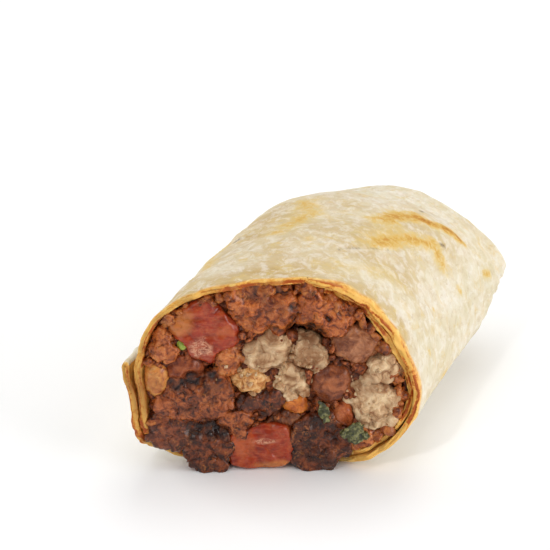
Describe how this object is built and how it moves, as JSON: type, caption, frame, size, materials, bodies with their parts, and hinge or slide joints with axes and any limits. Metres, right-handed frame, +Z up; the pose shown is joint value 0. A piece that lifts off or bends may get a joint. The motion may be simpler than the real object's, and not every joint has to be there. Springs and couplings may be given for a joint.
{
  "type": "burrito",
  "caption": "Half of a cut burrito lying on its side: a rolled flour tortilla round a filling of meat, mashed beans, beans and tomato that shows at the slanted cut.",
  "frame": {"origin": "under the middle of the whole, on the surface that the burrito lies on", "axes": "+Y from the cut face towards the tucked end, +X to the right as one looks at the cut face, +Z up"},
  "size_m": [0.0726, 0.1052, 0.0544],
  "materials": {
    "tortilla": "matt floury dough, toasted in spots, oily along the cut rim",
    "filling": "moist sauce-bound filling",
    "meat": "browned meat in a moist red-brown sauce",
    "tomato": "wet tomato flesh and skin",
    "bean": "soft cooked bean skin",
    "mash": "crumbly mashed bean",
    "onion": "soft stained onion",
    "herb": "fresh green leaf and pepper"
  },
  "bodies": {
    "root": {"tortilla": "tortilla", "filling": "filling", "meat_1": "meat", "meat_2": "meat", "meat_3": "meat", "meat_4": "meat", "meat_5": "meat", "meat_6": "meat", "meat_7": "meat", "meat_8": "meat", "meat_9": "meat", "meat_10": "meat", "meat_11": "meat", "bean_1": "bean", "bean_2": "bean", "bean_3": "bean", "bean_4": "bean", "bean_5": "bean", "bean_6": "bean", "mash_1": "mash", "mash_2": "mash", "mash_3": "mash", "mash_4": "mash", "mash_5": "mash", "mash_6": "mash", "tomato_1": "tomato", "tomato_2": "tomato", "onion_1": "onion", "pepper_1": "herb", "herb_1": "herb", "herb_2": "herb"}
  },
  "joints": []
}
